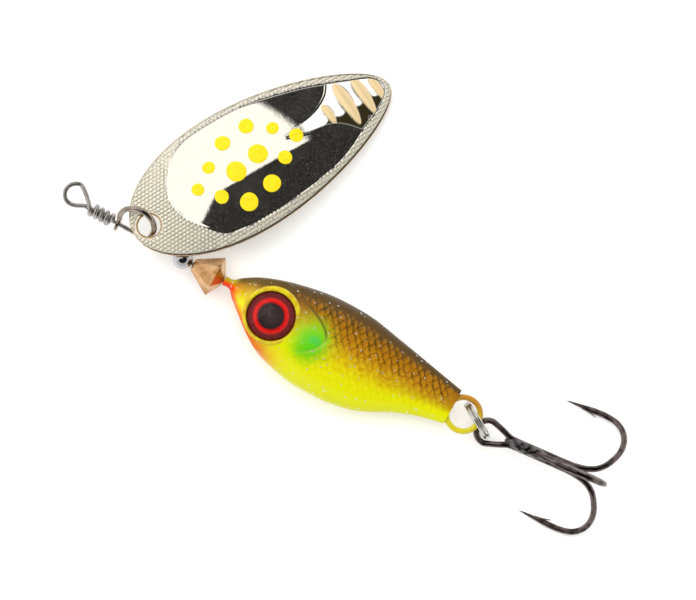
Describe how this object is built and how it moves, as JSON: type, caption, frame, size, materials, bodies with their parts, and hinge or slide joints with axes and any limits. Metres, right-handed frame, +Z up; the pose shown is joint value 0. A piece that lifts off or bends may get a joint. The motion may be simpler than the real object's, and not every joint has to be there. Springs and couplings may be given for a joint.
{
  "type": "inline spinner",
  "caption": "Inline spinner fishing lure: a fish-shaped body on a wire with a spinning dotted blade, beads and a treble hook on a split ring.",
  "frame": {"origin": "middle of the lure seen from above, at the table it lies on", "axes": "+X from the line eye to the hook along the shaft, +Y to the fish's back, +Z up out of its left side"},
  "size_m": [0.0876, 0.0448, 0.016],
  "materials": {
    "steel_wire": "dull drawn wire",
    "nickel": "bright nickel",
    "gold_plate": "pale gold plate, embossed",
    "yellow_enamel": "gloss enamel",
    "ball_chrome": "polished",
    "copper": "brushed copper plate",
    "fish_paint": "clear-coated fish pattern on cast metal",
    "eye_foil": "printed foil",
    "eye_lens": "clear domed resin",
    "loop_paint": "paint over wire",
    "ring_steel": "stainless spring wire",
    "black_nickel": "black nickel"
  },
  "bodies": {
    "lure": {"shaft_wire": "steel_wire", "fish_body": "fish_paint", "left_eye_foil": "eye_foil", "left_eye_lens": "eye_lens", "right_eye_foil": "eye_foil", "right_eye_lens": "eye_lens", "tail_loop": "loop_paint"},
    "clevis": {"clevis": "nickel"},
    "blade": {"blade": "gold_plate", "blade_dots": "yellow_enamel"},
    "ball": {"bearing_ball": "ball_chrome"},
    "cone": {"cone_bead": "copper"},
    "ring": {"split_ring": "ring_steel"},
    "treble": {"treble_double": "black_nickel", "treble_single": "black_nickel"}
  },
  "joints": [
    {"name": "clevis_spin", "type": "hinge", "parent": "lure", "child": "clevis", "pos_m": [-0.03237, -0.01353, 0.0046], "axis": [1, 0, 0], "continuous": true},
    {"name": "blade_swing", "type": "hinge", "parent": "clevis", "child": "blade", "pos_m": [-0.03237, -0.01223, 0.00585], "axis": [0, -0.6947, 0.7193], "range_deg": [0, 110]},
    {"name": "ball_spin", "type": "hinge", "parent": "lure", "child": "ball", "pos_m": [-0.02442, -0.01353, 0.0046], "axis": [1, 0, 0], "continuous": true},
    {"name": "cone_spin", "type": "hinge", "parent": "lure", "child": "cone", "pos_m": [-0.01922, -0.01353, 0.0046], "axis": [1, 0, 0], "continuous": true},
    {"name": "ring_swing", "type": "hinge", "parent": "lure", "child": "ring", "pos_m": [0.02043, -0.01391, 0.0046], "axis": [0, 0, 1], "range_deg": [-75, 60]},
    {"name": "treble_swing", "type": "hinge", "parent": "ring", "child": "treble", "pos_m": [0.02258, -0.01376, 0.00315], "axis": [0.5, 0.866, 0], "range_deg": [-5, 100]}
  ]
}
